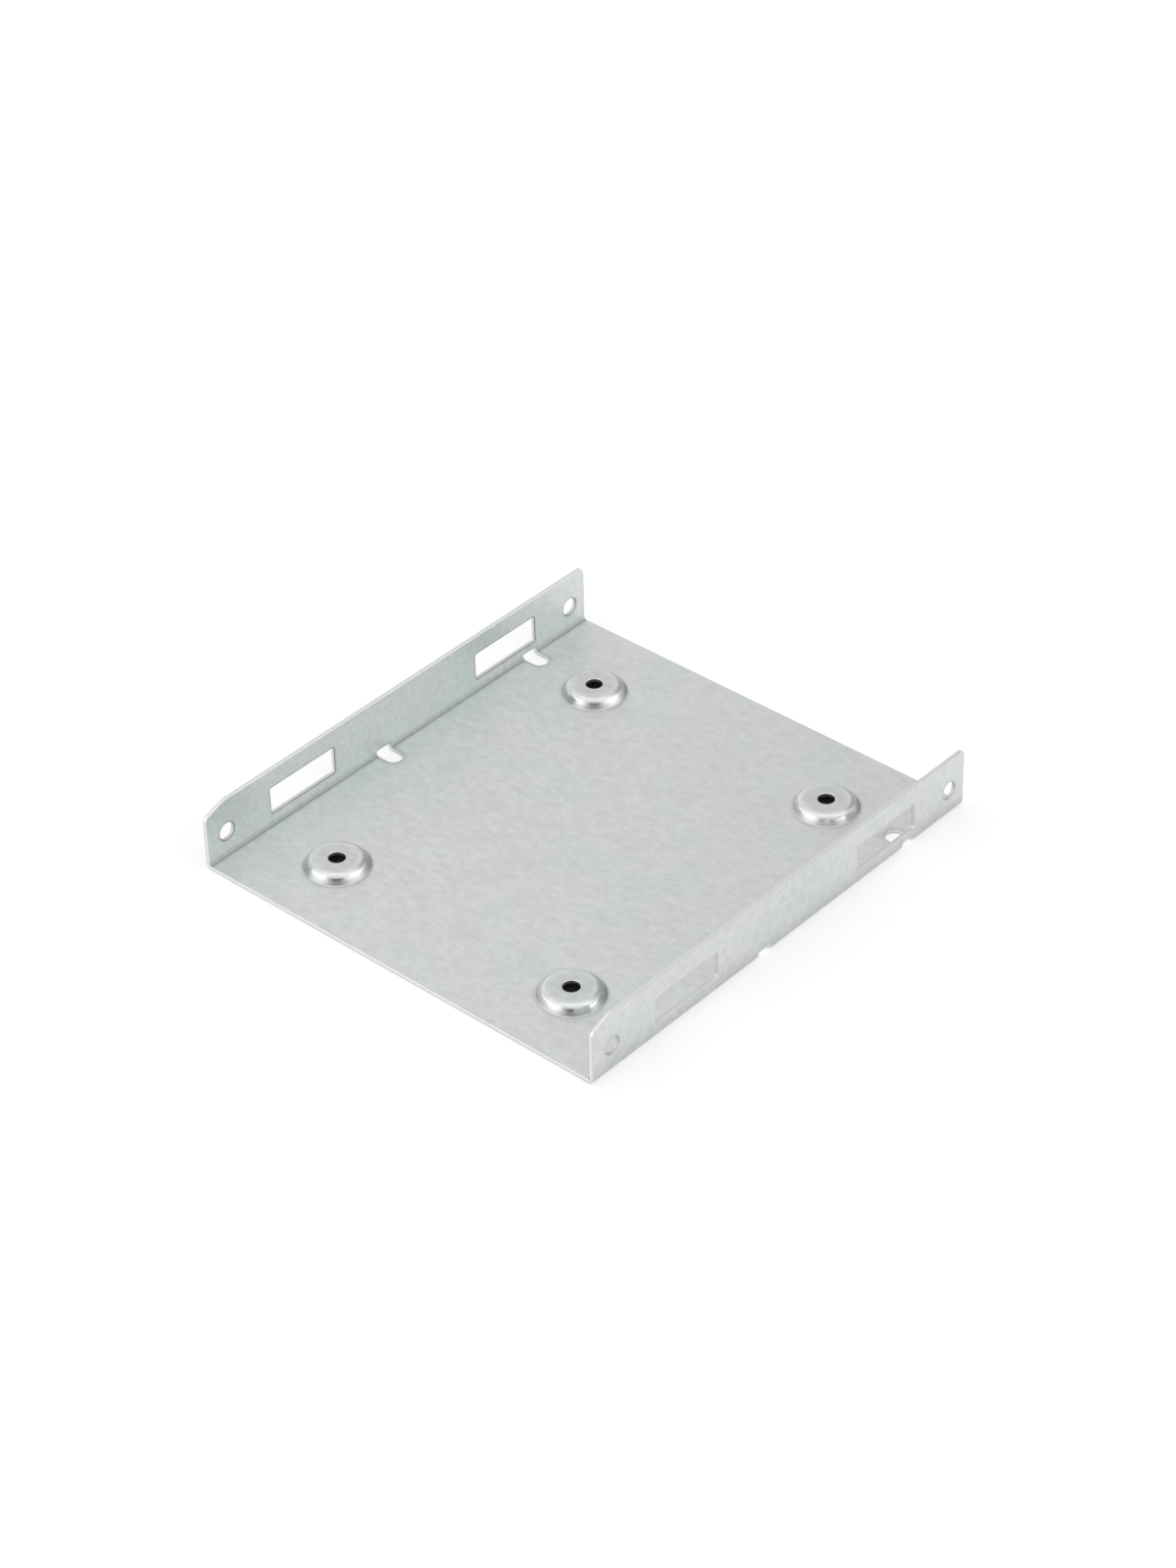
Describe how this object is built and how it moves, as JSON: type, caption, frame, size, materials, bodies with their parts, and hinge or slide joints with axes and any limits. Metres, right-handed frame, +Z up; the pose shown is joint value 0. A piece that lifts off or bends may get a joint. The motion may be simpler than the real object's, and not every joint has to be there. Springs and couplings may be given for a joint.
{
  "type": "drive bay adapter bracket",
  "caption": "Folded sheet steel tray with two low side flanges and raised screw bosses, which carries a small drive inside a wider drive bay.",
  "frame": {"origin": "centre of the footprint, on the underside of the floor", "axes": "+X towards the right flange, +Y towards the rear, which is the end away from the slanted flange corners, +Z up, out of the open side of the tray"},
  "size_m": [0.1016, 0.1116, 0.014],
  "materials": {
    "galvanised_steel": "zinc coated sheet steel, satin, with a fine mottled grain"
  },
  "bodies": {
    "root": {"bracket": "galvanised_steel"}
  },
  "joints": []
}
